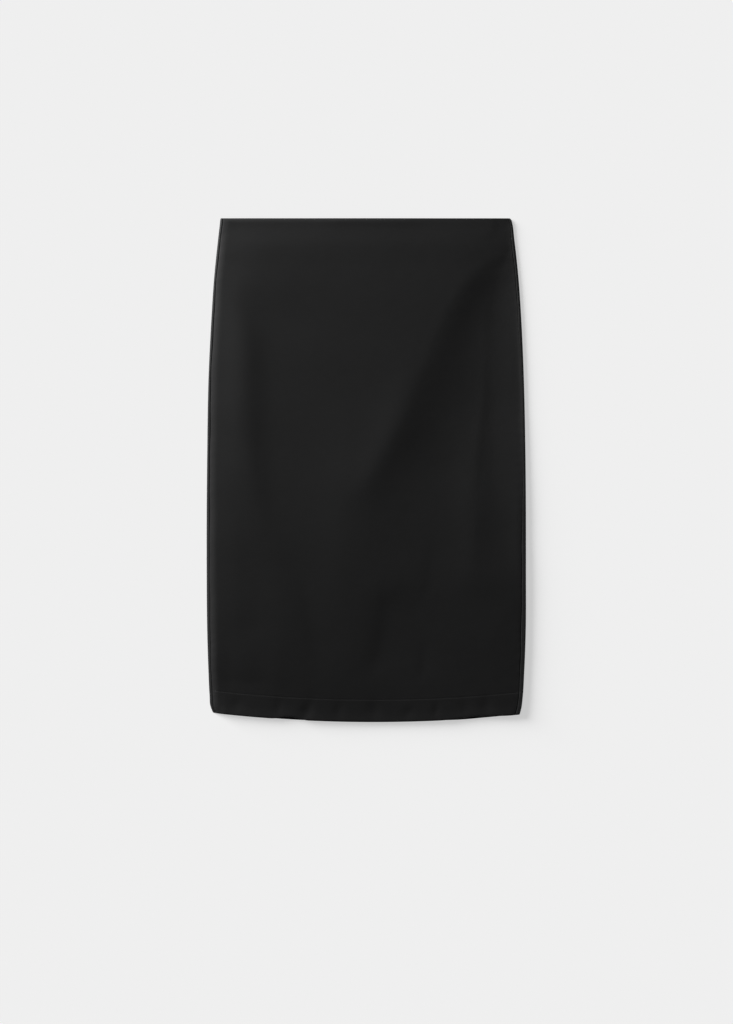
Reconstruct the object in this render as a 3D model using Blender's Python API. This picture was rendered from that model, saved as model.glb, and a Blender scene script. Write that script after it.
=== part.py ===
"""Pencil skirt laid flat with its front up: the construction solids.

The skirt is a tube of two cut pieces joined at the side seams. The back panel lies on the surface,
rolls up at both sides and comes a few millimetres over the front, where the seams are. The front
panel lies on it from seam to seam and carries the folds. Both pieces have their top edge turned in
and their hem turned up, so those bands are thicker cloth.

+X runs across the skirt, +Y from the hem to the waist and +Z up. Lengths are in metres. The origin
lies under the middle of the skirt, on the surface that it rests on.
"""

from collections import namedtuple

import bmesh
import bpy
import numpy as np

# ------------------------------------------------------------------ driving sizes
LENGTH = 0.680            # waist edge to the lowest point of the hem
CLOTH = 0.0011            # one layer of cloth
TURNED = 0.0015           # two pressed layers, where an edge is turned in
WAIST_TURN = 0.040        # depth of the turned-in waist edge
HEM_TURN = 0.030          # depth of the turned-up hem
TURN_STEP = 0.0025        # length over which a turning's thickness ends
TURN_PRINT = 0.0002       # how far a turning lifts the outside of the cloth
FOLDED_EDGE = 0.0010      # length over which a folded edge rounds off
EDGE_SHARE = 0.5          # share of the thickness left at the very edge
SEAM_GAP = 0.0003         # between the two panels at a side seam
LAYER_GAP = 0.0004        # least air between the front and the back under it

# The hem hangs in a shallow curve: its rise over the lowest point grows with the square
# of the distance from that point.
HEM_LOW = 0.007           # where across the lowest point lies
HEM_CURVE = 0.2625        # rise in metres for each square metre

# How the front bulges over its edges, and how far in from each edge that takes
BODY_RISE = 0.0014
WAIST_SHOULDER = 0.045
HEM_SHOULDER = 0.040
SIDE_FADE = 0.008         # folds fade out this close to a side seam
WAIST_HEIGHT = 0.0038     # top of the front at the waist edge

# Rows down the sides: half widths of the outline, left and right
Outline = namedtuple("Outline", "down left right")
OUTLINE = (
    Outline(down=0.000, left=0.1963, right=0.1930),
    Outline(down=0.004, left=0.1968, right=0.1962),
    Outline(down=0.028, left=0.2002, right=0.2000),
    Outline(down=0.082, left=0.2053, right=0.2054),
    Outline(down=0.136, left=0.2088, right=0.2090),
    Outline(down=0.217, left=0.2127, right=0.2127),
    Outline(down=0.325, left=0.2149, right=0.2150),
    Outline(down=0.487, left=0.2156, right=0.2156),
    Outline(down=0.568, left=0.2149, right=0.2149),
    Outline(down=0.622, left=0.2129, right=0.2127),
    Outline(down=0.657, left=0.2109, right=0.2105),
    Outline(down=0.672, left=0.2096, right=0.2093),
    Outline(down=0.680, left=0.2070, right=0.2076),
)

# Rows down the sides: height of each side roll, how far each seam lies in from the outline,
# and how far in from the seam the front still rises
Side = namedtuple("Side", "down left_roll right_roll left_seam right_seam left_shoulder right_shoulder")
SIDES = (
    Side(0.000, 0.0038, 0.0038, 0.0036, 0.0034, 0.045, 0.120),
    Side(0.100, 0.0038, 0.0043, 0.0036, 0.0036, 0.045, 0.140),
    Side(0.300, 0.0041, 0.0054, 0.0038, 0.0042, 0.038, 0.140),
    Side(0.500, 0.0045, 0.0060, 0.0042, 0.0062, 0.030, 0.090),
    Side(0.680, 0.0045, 0.0060, 0.0040, 0.0058, 0.022, 0.060),
)

# Top of the front along the hem edge
Hem = namedtuple("Hem", "across height")
HEM = (
    Hem(across=-0.210, height=0.0046),
    Hem(across=-0.080, height=0.0042),
    Hem(across=0.040, height=0.0042),
    Hem(across=0.130, height=0.0050),
    Hem(across=0.210, height=0.0060),
)

# Where the front's hem stops short and the back's hem looks out under it
Peek = namedtuple("Peek", "across half_length depth")
PEEKS = (
    Peek(across=-0.103, half_length=0.026, depth=0.0038),
    Peek(across=0.137, half_length=0.036, depth=0.0045),
)

# The largest folds: arcs from start through via to end as (across, down), the height they add
# on the line, how wide they are on their west (-X) and east (+X) sides, and the shares of their
# length over which they rise and fall
Fold = namedtuple("Fold", "name start via end height west east rise fall")
FOLDS = (
    Fold("drag_crest", (0.203, 0.026), (0.068, 0.216), (-0.070, 0.430), 0.0019, 0.150, 0.034, 0.14, 0.42),
    Fold("drag_slope", (0.192, 0.060), (0.122, 0.240), (0.010, 0.470), -0.0012, 0.034, 0.045, 0.16, 0.45),
    Fold("right_valley", (0.180, 0.050), (0.167, 0.250), (0.150, 0.580), -0.0011, 0.060, 0.020, 0.20, 0.55),
    Fold("left_trough", (-0.174, 0.050), (-0.154, 0.250), (-0.105, 0.500), -0.0008, 0.018, 0.050, 0.25, 0.40),
    Fold("lower_hollow", (0.020, 0.490), (0.012, 0.560), (0.000, 0.635), -0.0006, 0.018, 0.060, 0.35, 0.35),
    Fold("lower_crease", (0.082, 0.425), (0.076, 0.520), (0.071, 0.630), -0.0004, 0.014, 0.030, 0.30, 0.30),
    Fold("left_hollow", (-0.150, 0.470), (-0.110, 0.570), (-0.100, 0.650), -0.0007, 0.040, 0.060, 0.40, 0.30),
    Fold("waist_crease", (0.174, 0.000), (0.171, 0.016), (0.166, 0.034), -0.0003, 0.006, 0.009, 0.10, 0.60),
)

# ------------------------------------------------------------------ mesh density
FRONT_COLUMNS = 36        # cells across the front, and how strongly they gather at the drag fold
GATHER = 0.5
GATHER_SPAN = 0.16
BODY_ROWS = 37            # cells down the panels between the two turnings
ROLL_STEPS = 6
FLOOR_STEPS = 6
ARC_POINTS = 25           # points along a fold's arc

BLACK = (0.0150, 0.0150, 0.0155, 1.0)
CLOTH_ROUGHNESS = 0.85


def remove_everything():
    for item in list(bpy.data.objects):
        bpy.data.objects.remove(item, do_unlink=True)


# ------------------------------------------------------------------ small curves
def column(rows, name, where):
    """One column of a table at the given places, by a smooth cubic through its rows."""
    place = np.array([row[0] for row in rows])
    value = np.array([getattr(row, name) for row in rows])
    slope = np.gradient(value, place)
    where = np.clip(where, place[0], place[-1])
    k = np.clip(np.searchsorted(place, where, side="right") - 1, 0, len(place) - 2)
    step = place[k + 1] - place[k]
    t = (where - place[k]) / step
    ends = (1 + 2 * t) * (1 - t) ** 2 * value[k] + t ** 2 * (3 - 2 * t) * value[k + 1]
    return ends + step * (t * (1 - t) ** 2 * slope[k] - t ** 2 * (1 - t) * slope[k + 1])


def smooth(t):
    t = np.clip(t, 0.0, 1.0)
    return t * t * (3.0 - 2.0 * t)


def shoulder(distance, width):
    """0 at an edge, rising in a round shoulder to 1 at the given width."""
    return np.sin(np.pi / 2 * np.clip(distance / width, 0.0, 1.0))


# ------------------------------------------------------------------ the skirt's plan
def row_stations():
    """Shares of the length at which both panels have a row of points, waist to hem."""
    edge = np.array([0.0, 0.35, 1.0]) * FOLDED_EDGE
    waist_turn = [WAIST_TURN / 3, WAIST_TURN * 2 / 3, WAIST_TURN - TURN_STEP]
    hem_turn = [HEM_TURN / 2, HEM_TURN - TURN_STEP]
    body = np.linspace(WAIST_TURN, LENGTH - HEM_TURN, BODY_ROWS + 1)
    down = np.concatenate([edge, waist_turn, body, LENGTH - np.array(hem_turn)[::-1], LENGTH - edge[::-1]])
    return down / LENGTH


def hem_rise(across):
    return HEM_CURVE * (across - HEM_LOW) ** 2


def hem_peek(across):
    """How much shorter the front's hem is than the back's."""
    short = np.zeros_like(across)
    for peek in PEEKS:
        inside = np.clip(np.abs(across - peek.across) / peek.half_length, 0.0, 1.0)
        short = short + peek.depth * np.cos(np.pi / 2 * inside) ** 2
    return short


def side_lines(share):
    """Across positions of the left and right seams at shares of the length."""
    down = share * LENGTH
    left = -column(OUTLINE, "left", down) + column(SIDES, "left_seam", down)
    right = column(OUTLINE, "right", down) - column(SIDES, "right_seam", down)
    return left, right


def turning(from_waist, from_hem):
    """1 where the cloth is doubled by a turning, 0 elsewhere."""
    waist = 1.0 - smooth((from_waist - WAIST_TURN + TURN_STEP) / TURN_STEP)
    hem = 1.0 - smooth((from_hem - HEM_TURN + TURN_STEP) / TURN_STEP)
    return np.maximum(waist, hem)


def thickness(from_waist, from_hem):
    return CLOTH + (TURNED - CLOTH) * turning(from_waist, from_hem)


def round_edges(outer, inner, from_waist, from_hem):
    """Thin both faces toward the folded waist and hem edges."""
    edge = np.clip(np.minimum(from_waist, from_hem) / FOLDED_EDGE, 0.0, 1.0)
    share = EDGE_SHARE + (1.0 - EDGE_SHARE) * np.sin(np.pi / 2 * edge)
    pull = (inner - outer) * (0.5 * (1.0 - share))[..., None]
    return outer + pull, inner - pull


# ------------------------------------------------------------------ the front's form
def fold_arc(fold):
    start, via, end = (np.array(point) for point in (fold.start, fold.via, fold.end))
    pull = 2.0 * via - 0.5 * (start + end)
    t = np.linspace(0.0, 1.0, ARC_POINTS)[:, None]
    return (1 - t) ** 2 * start + 2 * t * (1 - t) * pull + t ** 2 * end


def fold_height(fold, across, down):
    """Height that one fold adds at each point of the front."""
    arc = fold_arc(fold)
    run = np.diff(arc, axis=0)
    offset = np.stack([across, down], axis=-1)[..., None, :] - arc[:-1]
    reach = np.clip((offset * run).sum(axis=-1) / (run ** 2).sum(axis=-1), 0.0, 1.0)
    rest = offset - reach[..., None] * run
    distance = np.hypot(rest[..., 0], rest[..., 1])
    near = distance.argmin(axis=-1)[..., None]
    gap = np.take_along_axis(distance, near, axis=-1)[..., 0]
    eastward = np.take_along_axis(rest[..., 0] * run[:, 1] - rest[..., 1] * run[:, 0], near, axis=-1)[..., 0]
    along = (near + np.take_along_axis(reach, near, axis=-1))[..., 0] / len(run)
    width = np.where(eastward > 0.0, fold.east, fold.west)
    taper = smooth(along / fold.rise) * smooth((1.0 - along) / fold.fall)
    return fold.height * taper * np.exp(-(gap / width) ** 2)


def edge_surface(u, share, across):
    """The plain surface that meets the heights of the side rolls, the waist edge and the hem."""
    down = share * LENGTH
    left = column(SIDES, "left_roll", down)
    right = column(SIDES, "right_roll", down)
    hem = column(HEM, "height", across)
    first = SIDES[0]
    last = SIDES[-1]
    top_corners = (1 - u) * first.left_roll + u * first.right_roll
    bottom_corners = (1 - u) * last.left_roll + u * last.right_roll
    across_part = (1 - u) * left + u * right
    down_part = (1 - share) * WAIST_HEIGHT + share * hem
    return across_part + down_part - (1 - share) * top_corners - share * bottom_corners


def front_height(u, share, across, from_waist, from_hem):
    """Height of the front's outer face."""
    down = share * LENGTH
    left, right = side_lines(share)
    to_left = across - left
    to_right = right - across
    rise = shoulder(to_left, column(SIDES, "left_shoulder", down))
    rise = rise * shoulder(to_right, column(SIDES, "right_shoulder", down))
    rise = rise * shoulder(from_waist, WAIST_SHOULDER) * shoulder(from_hem, HEM_SHOULDER)
    height = edge_surface(u, share, across) + BODY_RISE * rise
    folds = sum(fold_height(fold, across, from_waist) for fold in FOLDS)
    height = height + folds * shoulder(np.minimum(to_left, to_right), SIDE_FADE)
    turned = turning(from_waist, from_hem) * shoulder(np.minimum(to_left, to_right), SIDE_FADE)
    lowest = 2.0 * thickness(from_waist, from_hem) + LAYER_GAP
    return np.maximum(height, lowest) + TURN_PRINT * turned


def gathered(u, share):
    """Column places across the front, drawn together where the drag fold crosses the row."""
    arc = fold_arc(FOLDS[0])
    left, right = side_lines(share)
    crest = (np.interp(share * LENGTH, arc[:, 1], arc[:, 0]) - left) / (right - left)
    offset = u - crest
    pull = GATHER * u * (1.0 - u) * 4.0 * np.exp(-(offset / GATHER_SPAN) ** 2)
    return u - pull * offset


def front_faces(stations):
    """Outer and inner points of the front panel, a row for each station."""
    share = stations[:, None]
    left, right = side_lines(share)
    even = 0.5 - 0.5 * np.cos(np.linspace(0.0, np.pi, FRONT_COLUMNS + 1))
    flat = np.linspace(0.0, 1.0, FRONT_COLUMNS + 1)
    u = gathered((0.25 * even + 0.75 * flat)[None, :], share)
    across = left + (right - left) * u
    length = LENGTH - hem_rise(across)
    in_hem = np.clip(1.0 - (1.0 - share) * length / HEM_TURN, 0.0, 1.0)
    from_waist = share * length - hem_peek(across) * in_hem
    from_hem = length - hem_peek(across) - from_waist
    top = front_height(u, share, across, from_waist, from_hem)
    depth = thickness(from_waist, from_hem)
    along = LENGTH / 2 - from_waist
    outer = np.stack([across, along, top], axis=-1)
    inner = np.stack([across, along, top - depth], axis=-1)
    return round_edges(outer, inner, from_waist, from_hem)


# ------------------------------------------------------------------ the back's form
def roll_points(centre, radius, wall, side):
    """Outer and inner points round one side roll, from the lip at the top down to the floor."""
    angle = np.pi / 2 - np.linspace(0.0, np.pi, ROLL_STEPS + 1)
    x = side * np.cos(angle)
    z = np.sin(angle)
    outer = np.stack([centre + radius * x, radius + radius * z], axis=-1)
    inner = np.stack([centre + (radius - wall) * x, radius + (radius - wall) * z], axis=-1)
    return outer, inner


def back_section(share):
    """Outer and inner (across, height) points from the left seam, round the floor, to the right seam."""
    down = share * LENGTH
    wall = thickness(down, LENGTH - down)
    left_seam, right_seam = side_lines(share)
    left_roll = column(SIDES, "left_roll", down)
    right_roll = column(SIDES, "right_roll", down)
    left_centre = -column(OUTLINE, "left", down) + left_roll / 2
    right_centre = column(OUTLINE, "right", down) - right_roll / 2
    left_lip = left_seam - SEAM_GAP
    right_lip = right_seam + SEAM_GAP
    left_outer, left_inner = roll_points(left_centre, left_roll / 2, wall, -1.0)
    right_outer, right_inner = roll_points(right_centre, right_roll / 2, wall, 1.0)
    floor = np.linspace(left_centre, right_centre, FLOOR_STEPS + 1)[1:-1]
    under = np.stack([floor, np.zeros_like(floor)], axis=-1)
    over = np.stack([floor, np.full_like(floor, wall)], axis=-1)
    outer = [[[left_lip, left_roll]], left_outer, under, right_outer[::-1], [[right_lip, right_roll]]]
    inner = [[[left_lip, left_roll - wall]], left_inner, over, right_inner[::-1],
             [[right_lip, right_roll - wall]]]
    return np.concatenate(outer), np.concatenate(inner)


def back_faces(stations):
    """Outer and inner points of the back panel, a row for each station."""
    faces = []
    lengths = None
    for layer in (0, 1):
        section = np.array([back_section(share)[layer] for share in stations])
        across = section[..., 0]
        length = LENGTH - hem_rise(across)
        if lengths is None:
            lengths = length
        along = LENGTH / 2 - stations[:, None] * length
        faces.append(np.stack([across, along, section[..., 1]], axis=-1))
    from_waist = stations[:, None] * lengths
    return round_edges(faces[0], faces[1], from_waist, lengths - from_waist)


# ------------------------------------------------------------------ building
def cloth_material(name):
    material = bpy.data.materials.new(name)
    material.use_nodes = True
    shader = material.node_tree.nodes["Principled BSDF"]
    shader.inputs["Base Color"].default_value = BLACK
    shader.inputs["Roughness"].default_value = CLOTH_ROUGHNESS
    shader.inputs["Metallic"].default_value = 0.0
    return material


def cloth_panel(name, outer, inner):
    """One closed wall of cloth: a grid on the outer points, extruded to the inner ones."""
    rows, columns = outer.shape[:2]
    mesh = bpy.data.meshes.new(name)
    bm = bmesh.new()
    place = bm.verts.layers.int.new("place")
    grid = bmesh.ops.create_grid(bm, x_segments=columns - 1, y_segments=rows - 1, size=1.0)
    for number, vert in enumerate(grid["verts"]):
        vert[place] = number
        vert.co = outer.reshape(-1, 3)[number]
    wall = bmesh.ops.extrude_face_region(bm, geom=bm.faces[:], use_keep_orig=True)
    for vert in (item for item in wall["geom"] if isinstance(item, bmesh.types.BMVert)):
        vert.co = inner.reshape(-1, 3)[vert[place]]
    bmesh.ops.recalc_face_normals(bm, faces=bm.faces[:])
    bm.to_mesh(mesh)
    bm.free()
    mesh.shade_smooth()
    mesh.set_sharp_from_angle(angle=np.radians(40.0))
    mesh.materials.append(cloth_material(name + "_cloth"))
    panel = bpy.data.objects.new(name, mesh)
    bpy.context.scene.collection.objects.link(panel)
    return panel


def build_skirt():
    remove_everything()
    stations = row_stations()
    cloth_panel("front_panel", *front_faces(stations))
    cloth_panel("back_panel", *back_faces(stations))


build_skirt()
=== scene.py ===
"""Pencil skirt laid flat with its front up: its cloth, sewing and studio.

Both panels are thin sheets of one cut each. A sheet starts inside at the end of its hem turning,
folds round the hem edge, runs up the outside, folds over the waist edge and ends inside again.
+X runs across the skirt, +Y from the hem to the waist and +Z up. Lengths are in metres.
"""

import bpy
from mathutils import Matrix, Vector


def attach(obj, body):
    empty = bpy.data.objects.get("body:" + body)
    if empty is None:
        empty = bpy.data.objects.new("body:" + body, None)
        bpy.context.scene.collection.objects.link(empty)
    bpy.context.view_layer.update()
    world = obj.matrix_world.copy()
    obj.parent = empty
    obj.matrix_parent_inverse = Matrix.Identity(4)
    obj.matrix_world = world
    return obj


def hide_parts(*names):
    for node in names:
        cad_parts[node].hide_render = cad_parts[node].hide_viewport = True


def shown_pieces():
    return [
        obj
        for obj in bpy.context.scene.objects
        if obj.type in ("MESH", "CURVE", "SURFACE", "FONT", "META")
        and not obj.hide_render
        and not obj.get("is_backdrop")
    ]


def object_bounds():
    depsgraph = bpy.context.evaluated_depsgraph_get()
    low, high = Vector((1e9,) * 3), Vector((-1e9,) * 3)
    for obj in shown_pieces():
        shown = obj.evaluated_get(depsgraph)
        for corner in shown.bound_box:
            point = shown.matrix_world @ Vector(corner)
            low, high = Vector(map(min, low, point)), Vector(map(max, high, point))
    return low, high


bl_info = {
    "name": "Laid Pencil Skirt",
    "version": (1, 0, 0),
    "blender": (4, 5, 0),
    "location": "3D View > Sidebar > Skirt",
    "description": "A plain black pencil skirt laid flat, with its cloth, sewing and studio",
    "category": "Object",
}

from collections import namedtuple

import bmesh
import bpy
import numpy as np
from bpy.props import FloatProperty, FloatVectorProperty, PointerProperty
from mathutils import Matrix, Vector, noise

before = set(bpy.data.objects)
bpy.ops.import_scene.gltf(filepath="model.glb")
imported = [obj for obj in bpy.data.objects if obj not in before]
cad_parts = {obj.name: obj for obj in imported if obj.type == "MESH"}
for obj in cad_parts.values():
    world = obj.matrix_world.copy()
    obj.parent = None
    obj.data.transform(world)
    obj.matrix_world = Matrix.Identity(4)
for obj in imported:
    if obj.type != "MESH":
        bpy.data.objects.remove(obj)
CAD_LOW, CAD_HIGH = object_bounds()
LENGTH = CAD_HIGH.y - CAD_LOW.y      # from the waist edge to the lowest point of the hem
WAIST_LINE = CAD_HIGH.y

# ------------------------------------------------------------------ the skirt's cut and lay
# The hem's curve: its rise over the lowest point grows with the square of the distance from it
HEM_LOW = 0.010
HEM_CURVE = 0.2625

# How high the front bulges over its edges, the share of it that the waist edge keeps, and how far
# in from the waist and the hem the bulge takes to rise
BODY_RISE = 0.00168
WAIST_BULGE = 0.3
WAIST_SHOULDER = 0.041
HEM_SHOULDER = 0.152

# How far in from the side seams and the waist edge the front's rises at its sides take
LEFT_EDGE_SHOULDER = 0.0090
RIGHT_EDGE_SHOULDER = 0.0050
WAIST_EDGE_SHOULDER = 0.004

# The lip of the hem edge, and how far in from the seams the folds and dents reach their height
HEM_SWELL = 0.00040
HEM_SWELL_REACH = 0.0075
SIDE_FADE = 0.006

# The doubled hem band stands higher than the cloth above it: by how much, how far above the
# stitches it starts and how wide the step is. Then the groove of the stitches.
HEM_STEP = 0.00016
HEM_STEP_START = 0.0012
HEM_STEP_WIDTH = 0.0016
STITCH_GROOVE = 0.00022
STITCH_GROOVE_WIDTH = 0.0007

# Uneven lie of the cloth: height, size of the lumps and seed
Lump = namedtuple("Lump", "height size seed")
LUMPS = (Lump(0.00012, 0.070, 3.0), Lump(0.00004, 0.017, 8.0))

# Rows down the sides: half widths of the outline, left and right
Outline = namedtuple("Outline", "down left right")
OUTLINE = (
    Outline(down=0.000, left=0.1970, right=0.1943),
    Outline(down=0.003, left=0.1974, right=0.1963),
    Outline(down=0.006, left=0.1977, right=0.1971),
    Outline(down=0.028, left=0.2002, right=0.2000),
    Outline(down=0.082, left=0.2056, right=0.2057),
    Outline(down=0.136, left=0.2091, right=0.2093),
    Outline(down=0.217, left=0.2130, right=0.2128),
    Outline(down=0.325, left=0.2149, right=0.2150),
    Outline(down=0.487, left=0.2156, right=0.2156),
    Outline(down=0.568, left=0.2149, right=0.2153),
    Outline(down=0.622, left=0.2133, right=0.2133),
    Outline(down=0.657, left=0.2117, right=0.2112),
    Outline(down=0.672, left=0.2104, right=0.2093),
    Outline(down=0.680, left=0.2070, right=0.2071),
)

# Rows down the sides: height of each side roll, how far each seam lies in from the outline, how
# far in from the seam the front still rises, and how high its left edge rises at once
Side = namedtuple(
    "Side", "down left_roll right_roll left_seam right_seam left_shoulder right_shoulder left_rise")
SIDES = (
    Side(0.000, 0.0038, 0.0033, 0.0036, 0.0036, 0.061, 0.157, 0.0009),
    Side(0.100, 0.0037, 0.0036, 0.0036, 0.0042, 0.054, 0.070, 0.0013),
    Side(0.300, 0.0038, 0.0051, 0.0038, 0.0034, 0.039, 0.036, 0.0017),
    Side(0.400, 0.0040, 0.0070, 0.0040, 0.0048, 0.041, 0.041, 0.0021),
    Side(0.500, 0.0041, 0.0077, 0.0042, 0.0062, 0.043, 0.048, 0.0025),
    Side(0.680, 0.0040, 0.0079, 0.0040, 0.0060, 0.028, 0.036, 0.0030),
)

# More rows down the sides: how deep the cloth turns down into the left and the right seam, how much
# of the left roll is a straight slant, how far the front rises to its right edge, and how far the
# right roll rises from the seam to its bend
Seam = namedtuple("Seam", "down left_sink right_sink left_slant right_rise lip_rise")
SEAMS = (
    Seam(0.000, 0.00030, 0.00020, 0.00, 0.00020, 0.0000),
    Seam(0.080, 0.00030, 0.00036, 0.00, 0.00020, 0.0000),
    Seam(0.160, 0.00030, 0.00012, 0.00, 0.00045, 0.0001),
    Seam(0.330, 0.00030, 0.00006, 0.05, 0.00055, 0.0001),
    Seam(0.420, 0.00022, 0.00020, 0.30, 0.00020, 0.0002),
    Seam(0.500, 0.00014, 0.00045, 0.50, 0.00010, 0.0004),
    Seam(0.680, 0.00018, 0.00035, 0.40, 0.00010, 0.0004),
)

# How the back's cloth laps over each side: which way, how far in from the outline it starts to
# bend, the share of the roll's height at which it reaches out furthest, where the tucks of its seam
# start, in radians, and the column that holds its seam's depth
Lap = namedtuple("Lap", "sign reach belly tucks sink")
LEFT_LAP = Lap(sign=-1.0, reach=0.0040, belly=0.32, tucks=0.4, sink="left_sink")
RIGHT_LAP = Lap(sign=1.0, reach=0.0015, belly=0.50, tucks=1.9, sink="right_sink")
LARGEST_REACH = 0.92     # share of the way from the outline to the seam

# Waves of the sides: how far or by what share each one goes, the length that one takes, and where
# it starts, in radians
Wave = namedtuple("Wave", "size length start")
LEFT_SEAM_WAVES = (Wave(0.00028, 0.021, 0.7), Wave(0.00022, 0.0093, 1.61))
RIGHT_SEAM_WAVES = (Wave(0.00028, 0.021, 2.9), Wave(0.00022, 0.0093, 6.67))
LEFT_ROLL_WAVES = (Wave(0.030, 0.031, 0.0), Wave(0.020, 0.0137, 1.0))
RIGHT_ROLL_WAVES = (Wave(0.024, 0.027, 2.0), Wave(0.016, 0.0151, 0.5))

# Little tucks beside the side seams: height, distance from the seam and width of their row, length
# of one, and over what lengths and how much they come closer and part (in radians) and grow and fade
TUCK_HEIGHT = 0.00007
TUCK_PLACE = 0.0035
TUCK_WIDTH = 0.0040
TUCK_LENGTH = 0.0024
TUCK_DRIFT = 1.7
TUCK_DRIFT_LENGTH = 0.019
TUCK_SWELL = 0.4
TUCK_SWELL_LENGTH = 0.043

# Top of the front along the hem edge
Hem = namedtuple("Hem", "across height")
HEM = (
    Hem(across=-0.210, height=0.0039),
    Hem(across=-0.080, height=0.0045),
    Hem(across=0.040, height=0.0043),
    Hem(across=0.130, height=0.0055),
    Hem(across=0.210, height=0.0065),
)

# Where the front's hem stops short and the back's hem looks out under it
Peek = namedtuple("Peek", "across half_length depth")
PEEKS = (
    Peek(across=-0.103, half_length=0.026, depth=0.0038),
    Peek(across=0.148, half_length=0.050, depth=0.0028),
)

# Where the back's hem hangs a little lower than the curve, in the right peek
HEM_SAG_ACROSS = 0.128
HEM_SAG_WIDTH = 0.024
HEM_SAG_DEPTH = 0.0007

# Folds of the front: the line each follows as (across, down) points, the height it adds there, how
# wide it is on its west (-X) and east (+X) sides, the radius that rounds its top, the shares of its
# length over which it rises and fades (0 for an end that stays full), and how far its run is turned
# from the panel's length, in radians
Fold = namedtuple("Fold", "name line height west east round rise fade turn", defaults=(0.0,))
FOLDS = (
    Fold("crest_swell", ((0.0835, 0.1647), (0.0573, 0.2163), (0.0407, 0.2734), (0.0156, 0.3269),
        (-0.0080, 0.3722), (-0.0272, 0.4016)),
         0.00164, 0.0183, 0.0196, 0.0172, 0.50, 0.30, 0.52),
    Fold("middle_swell", ((-0.0228, 0.200), (-0.0248, 0.390), (-0.0328, 0.580)),
         0.00132, 0.0125, 0.0579, 0.0500, 0.50, 0.50),
    Fold("right_ridge", ((0.1784, 0.064), (0.1682, 0.083), (0.1665, 0.112), (0.1615, 0.150),
        (0.1619, 0.191), (0.1588, 0.245), (0.1496, 0.313), (0.1499, 0.380), (0.1478, 0.460),
        (0.1465, 0.540)),
         0.00053, 0.0080, 0.0224, 0.0054, 0.15, 0.35),
    Fold("right_trough", ((0.1800, 0.064), (0.1753, 0.083), (0.1723, 0.112), (0.1598, 0.150),
        (0.1620, 0.191), (0.1649, 0.245), (0.1606, 0.313), (0.1510, 0.380), (0.1563, 0.460),
        (0.1525, 0.540)),
         -0.00022, 0.0112, 0.0124, 0.0040, 0.15, 0.35),
    Fold("pinch", ((0.2063, 0.0373), (0.1931, 0.0452), (0.1840, 0.0641), (0.1553, 0.0742),
        (0.1500, 0.0900)),
         -0.00034, 0.0160, 0.0051, 0.0036, 0.10, 0.50, 0.80),
    Fold("left_ridge", ((-0.1800, 0.060), (-0.1778, 0.110), (-0.1646, 0.165), (-0.1633, 0.219),
        (-0.1634, 0.273), (-0.1581, 0.333), (-0.1491, 0.387), (-0.1348, 0.441), (-0.1052, 0.482)),
         0.00177, 0.0085, 0.0073, 0.0340, 0.25, 0.40),
    Fold("strip_ridge", ((0.1413, 0.260), (0.1416, 0.370), (0.1432, 0.540)),
         0.00096, 0.0083, 0.0720, 0.0240, 0.40, 0.40),
    Fold("lower_hollow", ((0.0280, 0.490), (0.0279, 0.520), (0.0245, 0.560), (0.0155, 0.600),
        (-0.0009, 0.635)),
         -0.00088, 0.0092, 0.0336, 0.0127, 0.30, 0.35),
    Fold("lower_crease", ((0.0860, 0.425), (0.0869, 0.475), (0.0777, 0.530)),
         -0.00036, 0.0046, 0.0320, 0.0055, 0.45, 0.45),
    Fold("low_tick", ((0.0759, 0.560), (0.0776, 0.600), (0.0721, 0.635)),
         -0.00036, 0.0043, 0.0149, 0.0044, 0.45, 0.45),
    Fold("left_hollow", ((-0.1231, 0.400), (-0.0810, 0.500), (-0.0580, 0.640)),
         -0.00094, 0.0056, 0.0165, 0.0386, 0.50, 0.30),
    Fold("low_left", ((-0.1037, 0.520), (-0.1536, 0.590), (-0.1620, 0.660)),
         0.00061, 0.0054, 0.0272, 0.0500, 0.50, 0.40),
    Fold("waist_crease", ((0.1717, 0.000), (0.1699, 0.016), (0.1607, 0.034)),
         0.00021, 0.0241, 0.0026, 0.0026, 0.00, 0.50),
    Fold("hem_corner", ((-0.125, 0.677), (-0.160, 0.675), (-0.198, 0.671)),
         0.00090, 0.0220, 0.0200, 0.0040, 0.40, 0.10, np.pi / 2),
    Fold("band_hollow", ((-0.115, 0.628), (-0.160, 0.625), (-0.208, 0.622)),
         -0.00090, 0.0800, 0.0180, 0.0040, 0.40, 0.28, np.pi / 2),
    Fold("waist_lip", ((0.100, 0.0035), (0.010, 0.0030), (-0.080, 0.0035)),
         0.00065, 0.0040, 0.0085, 0.0020, 0.35, 0.25, np.pi / 2),
    Fold("corner_ridge", ((0.2057, 0.500), (0.1786, 0.546), (0.1627, 0.600)),
         0.00041, 0.0352, 0.0528, 0.0027, 0.40, 0.50),
    Fold("top_left", ((-0.1473, 0.010), (-0.1281, 0.080), (-0.1209, 0.140)),
         0.00055, 0.0887, 0.0547, 0.0132, 0.30, 0.50),
)

# Where the front drops away to the east of a line: how deep, how far it takes and how round its
# edge is, both at the line's top and foot, the shares of its length over which it rises and fades,
# how far in from the right seam it comes up again, and how far its run is turned
Drop = namedtuple(
    "Drop", "name line depth top_reach low_reach top_round low_round rise fade return_width turn")
DROPS = (
    Drop("drag", ((0.2014, 0.0362), (0.1952, 0.0401), (0.1747, 0.0500), (0.1526, 0.0642),
        (0.1318, 0.0812), (0.1130, 0.1079), (0.0857, 0.1635), (0.0629, 0.2188), (0.0410, 0.2744),
        (0.0138, 0.3269), (-0.0078, 0.3652), (-0.0296, 0.4013)),
         0.0041, 0.015, 0.030, 0.0366, 0.0500, 0.06, 0.35, 0.044, 0.52),
    Drop("middle", ((-0.0160, 0.350), (-0.0170, 0.441), (0.0101, 0.500), (-0.0083, 0.580),
        (-0.0040, 0.660)),
         0.0016, 0.046, 0.028, 0.0420, 0.0407, 0.40, 0.50, 0.044, 0.00),
)

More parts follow.
